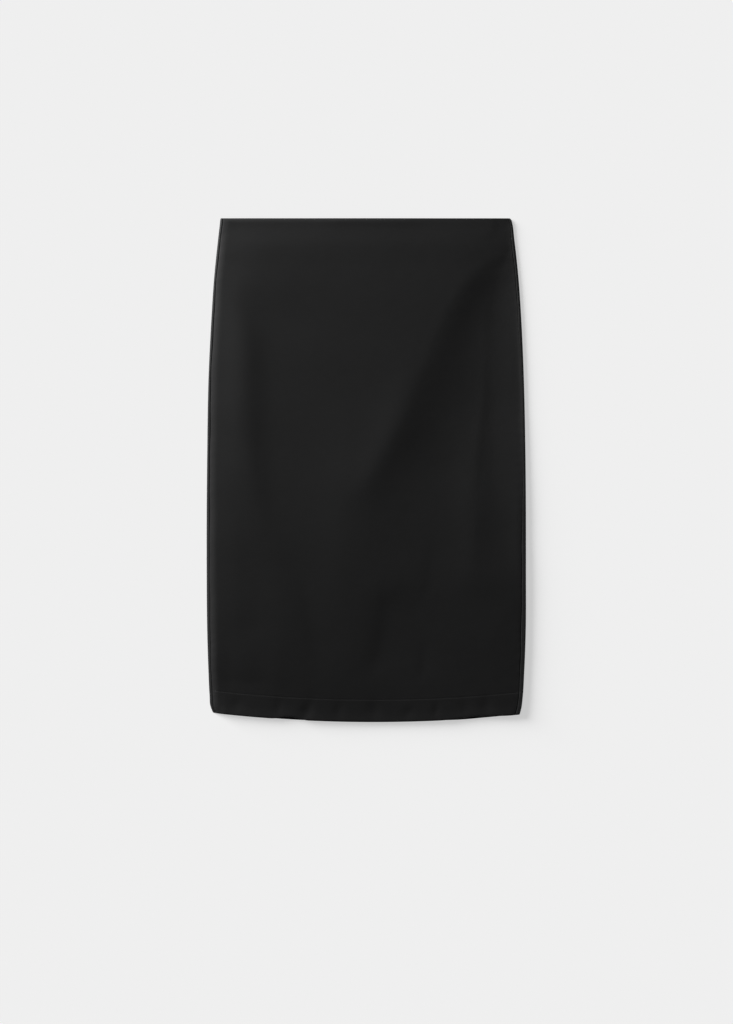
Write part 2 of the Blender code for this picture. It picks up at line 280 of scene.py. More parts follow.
# Soft dents where the hem's turning draws the cloth in: each one's middle across and up from the
# hem edge, its lean (across per length up), half width, half length and depth
Dent = namedtuple("Dent", "across up lean width length depth")
HEM_DENTS = (
    Dent(-0.174, 0.016, 0.10, 0.0070, 0.009, 0.00034),
    Dent(-0.150, 0.009, -0.25, 0.0050, 0.008, 0.00015),
    Dent(-0.118, 0.015, 0.05, 0.0055, 0.012, 0.00042),
    Dent(-0.080, 0.013, 0.30, 0.0080, 0.014, 0.00070),
    Dent(-0.037, 0.016, 0.05, 0.0065, 0.012, 0.00044),
    Dent(0.011, 0.017, -0.20, 0.0080, 0.012, 0.00048),
    Dent(0.057, 0.012, 0.15, 0.0070, 0.008, 0.00035),
    Dent(0.094, 0.014, 0.05, 0.0050, 0.010, 0.00040),
    Dent(0.132, 0.016, -0.20, 0.0070, 0.010, 0.00032),
    Dent(0.162, 0.018, -0.10, 0.0080, 0.011, 0.00050),
)

# The waist edge rolls over its turning: lift of the cloth over its plain form, down from the edge
Roll = namedtuple("Roll", "down lift")
WAIST_ROLL = (
    Roll(0.0000, 0.00000),
    Roll(0.0025, 0.00008),
    Roll(0.0045, 0.00007),
    Roll(0.0120, -0.00008),
    Roll(0.0220, -0.00006),
    Roll(0.0360, 0.00009),
    Roll(0.0460, 0.00009),
    Roll(0.0600, 0.00000),
)

# Shallow creases of the back, lifted off the surface it lies on, as the folds above. They lie where
# the back's inward direction is straight up.
STRAIGHT_UP = 0.999
BACK_FOLDS = (
    Fold("under_left", ((-0.190, 0.110), (-0.110, 0.260), (-0.040, 0.470)),
         0.0004, 0.010, 0.016, 0.004, 0.30, 0.40),
    Fold("under_right", ((0.170, 0.070), (0.150, 0.300), (0.090, 0.560)),
         0.0002, 0.012, 0.009, 0.004, 0.30, 0.40),
    Fold("under_seat", ((-0.030, 0.160), (0.010, 0.250), (0.060, 0.330)),
         0.0003, 0.014, 0.012, 0.006, 0.40, 0.40),
)

# How finely the sheets are divided
FRONT_COLUMNS = 139                  # even ones, from seam to seam
EDGE_COLUMNS = (0.0, 0.0005, 0.0011, 0.0018, 0.0026, 0.0042, 0.0056)    # shares in from a seam
BACK_FLOOR_COLUMNS = 36
LIP_COLUMNS = (0.0, 0.2, 0.42, 0.68)    # shares of the way from a seam to its roll's bend
ROLL_COLUMNS = 14
BODY_ROWS = 214
TURNING_ROWS = 6                     # in a turned-in layer
EDGE_ROWS = 8                        # round a folded edge
HEM_BAND_ROWS = 10
HEM_LINE_ROWS = 16
WAIST_BAND_ROWS = 13

# Where the rows of the bands lie, from the folded edges and to both sides of the hem's stitches
HEM_BAND_START = 0.0025
HEM_LINE_HALF = 0.003
HEM_LINE_GAP = 0.004
WAIST_BAND_START = 0.0035
WAIST_BAND_END = 0.0025
WAIST_EDGE_ROW = 0.0020

# The sewing and the cut
STITCHED_SHARES = (0.008, 0.992)     # of the front's width, where its hem stitches start and end
STITCH_LINE_POINTS = 400
STITCH_SPAN = (0.14, 0.86)           # shares of the pitch at which a stitch comes out and goes in
THREAD_OUT = 0.25                    # how far the thread's middle lies out of the cloth, in threads
BACK_THREAD_LIFT = 0.3               # how far the back's thread is lifted off the floor, likewise

# The surface: yarns, the noise that shifts them, slubs (long across the cloth) and thread strands,
# with pitches and depths in metres and scales in lumps per metre
YARN_PITCH = 0.0004
YARN_UNEVENNESS = 0.35
YARN_DEPTH = 0.00006
WOBBLE_SCALE = 420.0
SLUB_SCALE = (60.0, 900.0, 1.0)
SLUB_DEPTH = 0.00008
STRAND_SCALE = 4000.0
STRAND_DEPTH = 0.00003

# The studio. Its lights stand at a compass turn and a height angle, in degrees, and at a distance
# from the skirt. Their energy is in watts, and the sun's in watts a square metre.
Light = namedtuple("Light", "name kind turn height distance energy")
CLOTH_LIGHT = Light("cloth_key", "AREA", turn=135.0, height=11.0, distance=2.6, energy=126.0)
CLOTH_LIGHT_WIDTH = 0.9
FLOOR_LIGHT = Light("floor_key", "SUN", turn=149.0, height=20.0, distance=3.0, energy=3.72)
FLOOR_LIGHT_SPREAD = 34.0            # degrees
AIR_LIGHT = 0.08                     # strength of the even light all round
FLOOR_HALF = 12.0                    # half of the floor's width
FLOOR_HEIGHT = -0.0002
CAMERA_PLACE = (0.0003, -0.0566)     # across and along the skirt
SENSOR_WIDTH = 36.0                  # millimetres
CAMERA_REACH = 100.0


# ------------------------------------------------------------------ settings
class SkirtSizes(bpy.types.PropertyGroup):
    """Lengths of the cloth, its turnings and its sewing"""
    cloth: FloatProperty(
        name="Cloth", description="Thickness of one layer of cloth",
        default=0.0006, unit="LENGTH", precision=5)
    waist_turn: FloatProperty(
        name="Waist turning", description="Depth of the turned-in waist edge",
        default=0.040, unit="LENGTH")
    hem_turn: FloatProperty(
        name="Hem turning", description="Depth of the turned-up hem",
        default=0.030, unit="LENGTH")
    turn_radius: FloatProperty(
        name="Turning radius", description="Outer radius of a folded edge",
        default=0.00075, unit="LENGTH", precision=5)
    seam_reach: FloatProperty(
        name="Seam reach", description="How far from the seam the cloth starts to turn down",
        default=0.0011, unit="LENGTH", precision=5)
    stitch_pitch: FloatProperty(
        name="Stitch pitch", description="Distance from stitch to stitch",
        default=0.0030, unit="LENGTH", precision=5)
    thread: FloatProperty(
        name="Thread", description="Thickness of the sewing thread",
        default=0.00032, unit="LENGTH", precision=5)


class ClothLooks(bpy.types.PropertyGroup):
    """Colours and surface of the cloth and its thread"""
    colour: FloatVectorProperty(
        name="Cloth colour", description="Base colour of the cloth",
        default=(0.0135, 0.0135, 0.0138), min=0.0, max=1.0, subtype="COLOR")
    thread_colour: FloatVectorProperty(
        name="Thread colour", description="Base colour of the sewing thread",
        default=(0.020, 0.020, 0.0205), min=0.0, max=1.0, subtype="COLOR")
    roughness: FloatProperty(
        name="Roughness", description="Roughness of the cloth",
        default=0.62, min=0.0, max=1.0, subtype="FACTOR")
    sheen: FloatProperty(
        name="Sheen", description="Strength of the cloth's sheen",
        default=0.03, min=0.0, max=1.0, subtype="FACTOR")
    yarn_pitch: FloatProperty(
        name="Yarn pitch", description="Distance from yarn to yarn",
        default=YARN_PITCH, unit="LENGTH", precision=5)


class StudioLooks(bpy.types.PropertyGroup):
    """Floor and camera of the studio"""
    floor_glow: FloatProperty(
        name="Floor glow", description="Even light of the floor itself",
        default=0.524, min=0.0)
    floor_colour: FloatProperty(
        name="Floor tone", description="Reflectance of the floor",
        default=0.70, min=0.0, max=1.0)
    camera_height: FloatProperty(
        name="Camera height", description="Camera above the skirt",
        default=3.3, unit="LENGTH")
    frame_height: FloatProperty(
        name="Frame height", description="Height of the picture at the skirt",
        default=1.3838, unit="LENGTH")


# ------------------------------------------------------------------ small curves
def cubic(place, value, where):
    """A smooth cubic through the values at their places."""
    slope = np.gradient(value, place)
    where = np.clip(where, place[0], place[-1])
    k = np.clip(np.searchsorted(place, where, side="right") - 1, 0, len(place) - 2)
    step = place[k + 1] - place[k]
    t = (where - place[k]) / step
    ends = (1 + 2 * t) * (1 - t) ** 2 * value[k] + t ** 2 * (3 - 2 * t) * value[k + 1]
    return ends + step * (t * (1 - t) ** 2 * slope[k] - t ** 2 * (1 - t) * slope[k + 1])


def column(rows, name, where):
    """One column of a table at the given places, which its first column counts."""
    place = np.array([row[0] for row in rows])
    value = np.array([getattr(row, name) for row in rows])
    return cubic(place, value, where)


def smooth(t):
    """0 up to 0 and 1 from 1 on, with a soft step between."""
    t = np.clip(t, 0.0, 1.0)
    return t * t * (3.0 - 2.0 * t)


def shoulder(distance, width):
    """0 at an edge, rising in a round shoulder to 1 at the given width."""
    return np.sin(np.pi / 2 * np.clip(distance / width, 0.0, 1.0))


def bell(distance, width):
    """1 at no distance, falling off softly to both sides."""
    return np.exp(-(distance / width) ** 2)


def waves(table, along, start=0.0):
    """The given start with the waves of a table added."""
    return sum((wave.size * np.sin(along / wave.length + wave.start) for wave in table), start)


def soft_noise(x, y, size, seed):
    """Smooth noise from -1 to 1 over a sheet, with lumps of about the given size."""
    flat = [noise.noise(Vector((a / size, b / size, seed))) for a, b in zip(x.ravel(), y.ravel())]
    return np.array(flat).reshape(x.shape)


# ------------------------------------------------------------------ the skirt's plan
# A row of a sheet lies at a share of its column's length plus an extra distance, and at a depth
# inside the cloth's outer face.
Row = namedtuple("Row", "share extra depth")


def sheet_rows(sizes):
    """Rows of one sheet from the end of its hem turning to the end of its waist turning."""
    radius = sizes.turn_radius
    turns = [(radius * (1 - np.sin(angle)), radius * (1 - np.cos(angle)))
             for angle in np.linspace(np.pi, 0.0, EDGE_ROWS)]
    top, bottom = sizes.waist_turn, sizes.hem_turn + HEM_LINE_GAP
    rows = [Row(1.0, -out, 2 * radius)
            for out in np.linspace(sizes.hem_turn, radius, TURNING_ROWS + 1)[:-1]]
    rows += [Row(1.0, -out, depth) for out, depth in turns]
    rows += [Row(1.0, -out, 0.0) for out in hem_band(sizes)]
    rows += [Row(share, top - share * (top + bottom), 0.0)
             for share in np.linspace(1.0, 0.0, BODY_ROWS + 1)]
    rows += [Row(0.0, out, 0.0) for out in waist_band(sizes)]
    rows += [Row(0.0, out, depth) for out, depth in turns[::-1]]
    rows += [Row(0.0, out, 2 * radius)
             for out in np.linspace(radius, sizes.waist_turn, TURNING_ROWS + 1)[1:]]
    return rows


def hem_band(sizes):
    """Distances up from the hem edge: coarse in the band, close together at the stitched line."""
    line = sizes.hem_turn
    return np.concatenate([
        np.linspace(HEM_BAND_START, line - HEM_LINE_GAP, HEM_BAND_ROWS),
        np.linspace(line - HEM_LINE_HALF, line + HEM_LINE_HALF, HEM_LINE_ROWS)])


def waist_band(sizes):
    """Distances down from the waist edge, from the band's lower edge up to the fold."""
    band = np.linspace(sizes.waist_turn - WAIST_BAND_END, WAIST_BAND_START, WAIST_BAND_ROWS)
    return np.concatenate([band, [WAIST_EDGE_ROW]])


def hem_rise(across):
    """Height of the hem's curve over its lowest point, seen from above."""
    return HEM_CURVE * (across - HEM_LOW) ** 2


def hem_peek(across):
    """How much shorter the front's hem is than the back's."""
    short = np.zeros_like(across)
    for peek in PEEKS:
        inside = np.clip(np.abs(across - peek.across) / peek.half_length, 0.0, 1.0)
        short = short + peek.depth * np.cos(np.pi / 2 * inside) ** 2
    return short


def side_lines(station):
    """Across positions of the left and right seams, which are never quite straight."""
    down = station * LENGTH
    left = -column(OUTLINE, "left", down) + column(SIDES, "left_seam", down)
    right = column(OUTLINE, "right", down) - column(SIDES, "right_seam", down)
    return left + waves(LEFT_SEAM_WAVES, down), right + waves(RIGHT_SEAM_WAVES, down)


def side_rolls(station):
    """Heights of the left and right side rolls, with the slight lumps of a soft edge."""
    down = station * LENGTH
    left = column(SIDES, "left_roll", down) * waves(LEFT_ROLL_WAVES, down, 1.0)
    right = column(SIDES, "right_roll", down) * waves(RIGHT_ROLL_WAVES, down, 1.0)
    return left, right


def tucks(lap, station, from_seam):
    """Height of the little tucks that a seam's thread draws into the cloth beside it."""
    down = station * LENGTH
    drift = TUCK_DRIFT * np.sin(down / TUCK_DRIFT_LENGTH + lap.tucks)
    swell = 1.0 - TUCK_SWELL + TUCK_SWELL * np.sin(down / TUCK_SWELL_LENGTH)
    row = bell(from_seam - TUCK_PLACE, TUCK_WIDTH)
    return TUCK_HEIGHT * np.sin(down / TUCK_LENGTH + drift) * swell * row


def seam_sink(sizes, lap, station, from_seam):
    """How far the cloth has turned down into a side seam."""
    deepest = column(SEAMS, lap.sink, station * LENGTH)
    return deepest * (1.0 - shoulder(from_seam, sizes.seam_reach))


# ------------------------------------------------------------------ the front's form
def turned(turn, across, down):
    """Places aside of and along a run that is turned from the panel's length."""
    return across * np.cos(turn) + down * np.sin(turn), down * np.cos(turn) - across * np.sin(turn)


def line_gap(fold, across, down):
    """Distance of each point from the fold's line, positive to its east, and its share of the run."""
    aside, along = turned(fold.turn, across, down)
    x, y = turned(fold.turn, *np.array(fold.line).T)
    step = 0.0005
    lean = (cubic(y, x, along + step) - cubic(y, x, along - step)) / (2 * step)
    return (aside - cubic(y, x, along)) / np.hypot(1.0, lean), (along - y[0]) / (y[-1] - y[0])


def taper(fold, share):
    """0 before the fold's line and after it, rising to 1 between."""
    start = smooth(share / fold.rise) if fold.rise else 1.0
    end = smooth((1.0 - share) / fold.fade) if fold.fade else 1.0
    return start * end


def fold_height(fold, across, down):
    """Height that one fold adds at each point of a panel."""
    gap, share = line_gap(fold, across, down)
    width = np.where(gap > 0.0, fold.east, fold.west)
    return fold.height * taper(fold, share) * np.exp((fold.round - np.hypot(gap, fold.round)) / width)


def drop_height(drop, across, down, to_right):
    """How far the front drops away east of a line, to come up again at the right seam."""
    gap, share = line_gap(drop, across, down)
    gap, low = np.maximum(gap, 0.0), smooth(share)
    reach = drop.top_reach + (drop.low_reach - drop.top_reach) * low
    edge = drop.top_round + (drop.low_round - drop.top_round) * low
    fallen = 1.0 - np.exp((edge - np.hypot(gap, edge)) / reach)
    return -drop.depth * taper(drop, share) * fallen * shoulder(to_right, drop.return_width)


def dent_depth(dent, across, up):
    """Depth of one dent at each point of the front."""
    beside = across - dent.across - dent.lean * (up - dent.up)
    return dent.depth * bell(beside, dent.width) * bell(up - dent.up, dent.length)


def edge_surface(u, station, across):
    """The plain surface that meets the heights of the side rolls, the waist edge and the hem."""
    left, right = side_rolls(station)
    hem = column(HEM, "height", across)
    left_seam, right_seam = side_lines(station)
    hem_ends = (1 - u) * column(HEM, "height", left_seam) + u * column(HEM, "height", right_seam)
    return (1 - u) * left + u * right + station * (hem - hem_ends)


def body_height(u, station, across, down, from_hem, to_left, to_right):
    """Height of the front's large form: its edges, its bulge and its drops."""
    side_down = station * LENGTH
    rise = shoulder(to_left, column(SIDES, "left_shoulder", side_down))
    rise = rise * shoulder(to_right, column(SIDES, "right_shoulder", side_down))
    rise = rise * (WAIST_BULGE + (1.0 - WAIST_BULGE) * shoulder(down, WAIST_SHOULDER))
    rise = rise * smooth(from_hem / HEM_SHOULDER)
    left = column(SIDES, "left_rise", side_down) * shoulder(to_left, LEFT_EDGE_SHOULDER) * (1 - u)
    right = column(SEAMS, "right_rise", side_down) * shoulder(to_right, RIGHT_EDGE_SHOULDER) * u
    height = edge_surface(u, station, across) + BODY_RISE * rise
    height = height + (left - right) * shoulder(down, WAIST_EDGE_SHOULDER)
    return height + sum(drop_height(drop, across, down, to_right) for drop in DROPS)


def relief_height(sizes, across, down, from_outline, from_hem):
    """Height of the folds, the rolled edges, the hem's step, groove and dents, and the uneven lie."""
    relief = sum(fold_height(fold, across, down) for fold in FOLDS)
    relief = relief + column(WAIST_ROLL, "lift", down) * (down < WAIST_ROLL[-1].down)
    relief = relief - sum(dent_depth(dent, across, from_outline) for dent in HEM_DENTS)
    relief = relief + HEM_SWELL * bell(from_hem, HEM_SWELL_REACH)
    line = from_outline - sizes.hem_turn
    relief = relief + HEM_STEP * smooth((HEM_STEP_START - line) / HEM_STEP_WIDTH)
    relief = relief - STITCH_GROOVE * bell(line, STITCH_GROOVE_WIDTH)
    for lump in LUMPS:
        relief = relief + lump.height * soft_noise(across, down, lump.size, lump.seed)
    return relief


def front_height(sizes, u, station, across, down, from_outline):
    """Height of the front's outer face."""
    from_hem = from_outline - hem_peek(across)
    left, right = side_lines(station)
    to_left, to_right = across - left, right - across
    height = body_height(u, station, across, down, from_hem, to_left, to_right)
    relief = relief_height(sizes, across, down, from_outline, from_hem)
    height = height + relief * shoulder(np.minimum(to_left, to_right), SIDE_FADE)
    for lap, from_seam in ((LEFT_LAP, to_left), (RIGHT_LAP, to_right)):
        height = height + tucks(lap, station, from_seam) - seam_sink(sizes, lap, station, from_seam)
    return height


def front_columns():
    """Shares across the front, closer together at the seams."""
    even = np.linspace(0.0, 1.0, FRONT_COLUMNS)[1:-1]
    edge = np.array(EDGE_COLUMNS)
    return np.concatenate([edge, even, 1.0 - edge[::-1]])


def front_sheet(sizes, rows, u):
    """Points of the front panel and their places in the cloth, for rows of a sheet and columns u."""
    share, extra, depth = (np.array(part)[:, None] for part in zip(*rows))
    station = share + extra / LENGTH
    left, right = side_lines(station)
    across = left + (right - left) * u[None, :]
    length = LENGTH - hem_rise(across)
    plain_from_hem = (1.0 - share) * length - extra
    squeeze = hem_peek(across) * np.clip(1.0 - plain_from_hem / sizes.hem_turn, 0.0, 1.0)
    down = share * length + extra - squeeze
    height = front_height(sizes, u[None, :], station, across, down, length - down)
    points = np.stack([across, WAIST_LINE - down, height - depth], axis=-1)
    return points, cloth_places(across, points)


def cloth_places(across, points):
    """Places in the flat cloth: across it, and along it from the end of the hem turning."""
    steps = np.linalg.norm(np.diff(points, axis=0), axis=-1)
    along = np.concatenate([np.zeros((1, points.shape[1])), np.cumsum(steps, axis=0)])
    return np.stack([across, along], axis=-1)


# ------------------------------------------------------------------ the back's form
def lap_section(sizes, station, lap, seam, edge, roll, slant, rise):
    """Outer points and inward directions of one side, from its seam round the roll to the floor."""
    # the lip, from the seam to the bend
    lip = np.array(LIP_COLUMNS)[None, :]
    start = edge - lap.sign * np.minimum(lap.reach, LARGEST_REACH * np.abs(edge - seam))
    x = seam + (start - seam) * lip
    from_seam = np.abs(x - seam)
    height = roll + rise * lip ** 2 + tucks(lap, station, from_seam)
    height = height - seam_sink(sizes, lap, station, from_seam)
    lip_points = np.stack([x, height], axis=-1)
    lip_inward = np.stack([np.zeros_like(x), -np.ones_like(x)], axis=-1)

    # the roll, round the bend to the floor
    turn = np.linspace(0.0, np.pi, ROLL_COLUMNS + 1)[None, :]
    upper = turn < np.pi / 2
    centre = np.where(upper, start, edge - lap.sign * roll / 2)
    over = (1 - lap.belly) * ((1 - slant) * np.cos(turn) + slant * (1 - np.sin(turn)))
    swing = np.where(upper, over, lap.belly * np.cos(turn))
    roll_points = np.stack(
        [centre + (edge - centre) * np.sin(turn), (roll + rise) * (lap.belly + swing)], axis=-1)
    roll_inward = np.broadcast_to(
        -np.stack([lap.sign * np.sin(turn), np.cos(turn)], axis=-1), roll_points.shape)
    return (np.concatenate([lip_points, roll_points], axis=1),
            np.concatenate([lip_inward, roll_inward], axis=1))


def back_section(sizes, station):
    """Outer (across, height) points and inward directions, from the left seam round to the right."""
    down = station * LENGTH
    left_seam, right_seam = side_lines(station)
    left_roll, right_roll = side_rolls(station)
    left_edge = -column(OUTLINE, "left", down)
    right_edge = column(OUTLINE, "right", down)
    left_points, left_inward = lap_section(
        sizes, station, LEFT_LAP, left_seam, left_edge, left_roll,
        slant=column(SEAMS, "left_slant", down), rise=0.0)
    right_points, right_inward = lap_section(
        sizes, station, RIGHT_LAP, right_seam, right_edge, right_roll,
        slant=0.0, rise=column(SEAMS, "lip_rise", down))
    start, end = left_edge + left_roll / 2, right_edge - right_roll / 2
    x = start + (end - start) * np.linspace(0.0, 1.0, BACK_FLOOR_COLUMNS + 1)[None, 1:-1]
    under = np.stack([x, np.zeros_like(x)], axis=-1)
    up = np.stack([np.zeros_like(x), np.ones_like(x)], axis=-1)
    points = np.concatenate([left_points, under, right_points[:, ::-1]], axis=1)
    inward = np.concatenate([left_inward, up, right_inward[:, ::-1]], axis=1)
    return points, inward


def back_sheet(sizes, rows):
    """Points of the back panel and their places in the cloth, for rows of a sheet."""
    share, extra, depth = (np.array(part)[:, None] for part in zip(*rows))
    station = share + extra / LENGTH
    section, inward = back_section(sizes, station)
    across = section[..., 0]
    sag = HEM_SAG_DEPTH * bell(across - HEM_SAG_ACROSS, HEM_SAG_WIDTH)
    down = share * (LENGTH - hem_rise(across) + sag) + extra
    flat = inward[..., 1] > STRAIGHT_UP
    lift = sum(fold_height(fold, across, down) for fold in BACK_FOLDS) * flat
    inner = section + inward * (depth + lift)[..., None]
    points = np.stack([inner[..., 0], WAIST_LINE - down, inner[..., 1]], axis=-1)
    steps = np.linalg.norm(np.diff(section, axis=1), axis=-1)
    around = np.concatenate([np.zeros((section.shape[0], 1)), np.cumsum(steps, axis=1)], axis=1)
    return points, cloth_places(around, points)


# ------------------------------------------------------------------ building sheets
def new_piece(name, bm):
    """An object with the finished mesh, in the scene."""
    mesh = bpy.data.meshes.new(name)
    bm.to_mesh(mesh)
    bm.free()
    piece = bpy.data.objects.new(name, mesh)
    bpy.context.scene.collection.objects.link(piece)
    return piece


def sheet_piece(name, points, places, thickness, flip):
    """One sheet of cloth: a grid on the given points, with its thickness added inwards."""
    rows, columns = points.shape[:2]
    bm = bmesh.new()
    number = bm.verts.layers.int.new("number")
    grid = bmesh.ops.create_grid(bm, x_segments=columns - 1, y_segments=rows - 1, size=1.0)
    flat_points = points.reshape(-1, 3)
    flat_places = places.reshape(-1, 2)
    for count, vert in enumerate(grid["verts"]):
        vert[number] = count
        vert.co = flat_points[count]
    if flip:
        bmesh.ops.reverse_faces(bm, faces=bm.faces[:])
    uv = bm.loops.layers.uv.new("cloth")
    for face in bm.faces:
        face.smooth = True
        for loop in face.loops:
            loop[uv].uv = flat_places[loop.vert[number]]
    piece = new_piece(name, bm)
    wall = piece.modifiers.new("Cloth thickness", "SOLIDIFY")
    wall.thickness = thickness
    wall.offset = -1.0
    wall.use_even_offset = False
    return piece


# ------------------------------------------------------------------ materials
def math_node(tree, operation, first, second=None):
    """The result of an operation on sockets or plain numbers."""
    node = tree.nodes.new("ShaderNodeMath")
    node.operation = operation
    for socket, value in zip(node.inputs, (first, second)):
        if isinstance(value, (int, float)):
            socket.default_value = value
        elif value is not None:
            tree.links.new(value, socket)
    return node.outputs[0]


def noise_node(tree, place, scale, detail):
    """Noise from 0 to 1 at the given places."""
    node = tree.nodes.new("ShaderNodeTexNoise")
    node.inputs["Scale"].default_value = scale
    node.inputs["Detail"].default_value = detail
    tree.links.new(place, node.inputs["Vector"])
    return node.outputs["Fac"]


def bump_node(tree, height, distance, strength=1.0, normal=None):
    """The normal of a surface with the given heights."""
    node = tree.nodes.new("ShaderNodeBump")
    node.inputs["Strength"].default_value = strength
    node.inputs["Distance"].default_value = distance
    tree.links.new(height, node.inputs["Height"])
    if normal:
        tree.links.new(normal, node.inputs["Normal"])
    return node.outputs[0]


def scaled_colour(tree, colour, factor, low, high):
    """The colour, darker and lighter by small shares as the factor goes from 0 to 1."""
    mix = tree.nodes.new("ShaderNodeMix")
    mix.data_type = "RGBA"
    ends = [socket for socket in mix.inputs if socket.type == "RGBA"]
    for socket, share in zip(ends, (low, high)):
        socket.default_value = tuple(share * part for part in colour) + (1.0,)
    tree.links.new(factor, mix.inputs["Factor"])
    return next(socket for socket in mix.outputs if socket.type == "RGBA")


def new_material(name, values):
    """A material, its nodes and its shader, with the given values on the shader's inputs."""
    material = bpy.data.materials.new(name)
    material.use_nodes = True
    shader = material.node_tree.nodes["Principled BSDF"]
    for key, value in values.items():
        shader.inputs[key].default_value = value
    return material, material.node_tree, shader


def weave_group():
    """A plain weave on the cloth's own map: yarns pass over and under each other, a little unevenly."""
    tree = bpy.data.node_groups.get("Plain Weave")
    if tree:
        return tree
    tree = bpy.data.node_groups.new("Plain Weave", "ShaderNodeTree")
    for name, value in (("Yarn Pitch", YARN_PITCH), ("Unevenness", YARN_UNEVENNESS)):
        socket = tree.interface.new_socket(name=name, in_out="INPUT", socket_type="NodeSocketFloat")
        socket.default_value = value
    for name in ("Height", "Slub"):
        tree.interface.new_socket(name=name, in_out="OUTPUT", socket_type="NodeSocketFloat")
    given = tree.nodes.new("NodeGroupInput")
    result = tree.nodes.new("NodeGroupOutput")
    place = tree.nodes.new("ShaderNodeUVMap")
    place.uv_map = "cloth"
    apart = tree.nodes.new("ShaderNodeSeparateXYZ")
    tree.links.new(place.outputs["UV"], apart.inputs[0])
    wobble = noise_node(tree, place.outputs["UV"], WOBBLE_SCALE, detail=2.0)
    shift = math_node(tree, "MULTIPLY", wobble, math_node(
        tree, "MULTIPLY", given.outputs["Unevenness"], 2.0))
    pitch = given.outputs["Yarn Pitch"]
    across, along = (
        math_node(tree, "ADD", math_node(tree, "DIVIDE", apart.outputs[axis], pitch), shift)
        for axis in (0, 1))

    def yarns(over, beside):
        """Height of the yarns that lie side by side over one direction."""
        crown = math_node(tree, "ABSOLUTE", math_node(
            tree, "SINE", math_node(tree, "MULTIPLY", over, np.pi)))
        number = math_node(tree, "FLOOR", over)
        wave = math_node(tree, "SINE", math_node(
            tree, "MULTIPLY", math_node(tree, "ADD", number, beside), np.pi))
        lift = math_node(tree, "ADD", math_node(tree, "MULTIPLY", wave, 0.5), 0.5)
        return math_node(tree, "MULTIPLY", crown, lift)

    warp = yarns(across, along)
    weft = yarns(along, math_node(tree, "ADD", across, 1.0))
    tree.links.new(math_node(tree, "MAXIMUM", warp, weft), result.inputs["Height"])
    stretch = tree.nodes.new("ShaderNodeMapping")
    stretch.inputs["Scale"].default_value = SLUB_SCALE
    tree.links.new(place.outputs["UV"], stretch.inputs["Vector"])
    slub = noise_node(tree, stretch.outputs[0], scale=1.0, detail=3.0)
    tree.links.new(slub, result.inputs["Slub"])
    return tree


def cloth_material(looks):
    """Black crepe with its weave and slubs."""
    material, tree, shader = new_material("black_crepe", {
        "Roughness": looks.roughness, "Sheen Weight": looks.sheen, "Sheen Roughness": 0.5,
        "Specular IOR Level": 0.35})
    weave = tree.nodes.new("ShaderNodeGroup")
    weave.node_tree = weave_group()
    weave.inputs["Yarn Pitch"].default_value = looks.yarn_pitch
    slub = weave.outputs["Slub"]
    colour = scaled_colour(tree, looks.colour, slub, low=0.86, high=1.14)
    yarns = bump_node(tree, weave.outputs["Height"], YARN_DEPTH, strength=0.35)
    slubs = bump_node(tree, slub, SLUB_DEPTH, strength=0.30, normal=yarns)
    tree.links.new(colour, shader.inputs["Base Color"])
    tree.links.new(slubs, shader.inputs["Normal"])
    return material


def thread_material(looks):
    """Sewing thread, a little smoother than the cloth."""
    material, tree, shader = new_material(
        "sewing_thread", {"Roughness": 0.45, "Specular IOR Level": 0.5})
    place = tree.nodes.new("ShaderNodeTexCoord")
    strands = noise_node(tree, place.outputs["Object"], STRAND_SCALE, detail=2.0)
    colour = scaled_colour(tree, looks.thread_colour, strands, low=0.8, high=1.2)
    tree.links.new(colour, shader.inputs["Base Color"])
    tree.links.new(bump_node(tree, strands, STRAND_DEPTH), shader.inputs["Normal"])
    return material


def kept_material(name, make):
    """The material of that name, made at its first use."""
    return bpy.data.materials.get(name) or make(bpy.context.scene.skirt_looks)


# ------------------------------------------------------------------ operators for the skirt
class SKIRT_OT_front_panel(bpy.types.Operator):
    """Model the front panel as one sheet with its waist edge and hem turned in"""
    bl_idname = "skirt.front_panel"
    bl_label = "Front panel"

    def execute(self, context):
        sizes = context.scene.skirt_sizes
        points, places = front_sheet(sizes, sheet_rows(sizes), front_columns())
        piece = sheet_piece("front_cloth", points, places, sizes.cloth, flip=False)
        piece.data.materials.append(kept_material("black_crepe", cloth_material))
        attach(piece, "root")
        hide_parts("front_panel")
        return {"FINISHED"}


class SKIRT_OT_back_panel(bpy.types.Operator):
    """Model the back panel as one sheet that rolls up at both sides to the seams"""
    bl_idname = "skirt.back_panel"
    bl_label = "Back panel"

    def execute(self, context):
        sizes = context.scene.skirt_sizes
        points, places = back_sheet(sizes, sheet_rows(sizes))
        piece = sheet_piece("back_cloth", points, places, sizes.cloth, flip=True)
        piece.data.materials.append(kept_material("black_crepe", cloth_material))
        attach(piece, "root")
        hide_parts("back_panel")
        return {"FINISHED"}


def stitch_row(name, line, sizes):
    """A row of short stitches along a line of points, as one joined mesh."""
    steps = np.linalg.norm(np.diff(line, axis=0), axis=1)
    along = np.concatenate([[0.0], np.cumsum(steps)])
    count = int(along[-1] / sizes.stitch_pitch)
    bm = bmesh.new()
    for number in range(count):
        ends = (number + np.array(STITCH_SPAN)) * sizes.stitch_pitch
        first, last = (
            Vector([np.interp(end, along, line[:, axis]) for axis in range(3)]) for end in ends)
        turn = (last - first).to_track_quat("X", "Z").to_matrix().to_4x4()
        size = Matrix.Diagonal(((last - first).length / 2, sizes.thread / 2, sizes.thread / 2, 1.0))
        bmesh.ops.create_uvsphere(
            bm, u_segments=8, v_segments=6, radius=1.0,
            matrix=Matrix.Translation((first + last) / 2) @ turn @ size)
    for face in bm.faces:
        face.smooth = True
    piece = new_piece(name, bm)
    piece.data.materials.append(kept_material("sewing_thread", thread_material))
    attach(piece, "root")
    return piece


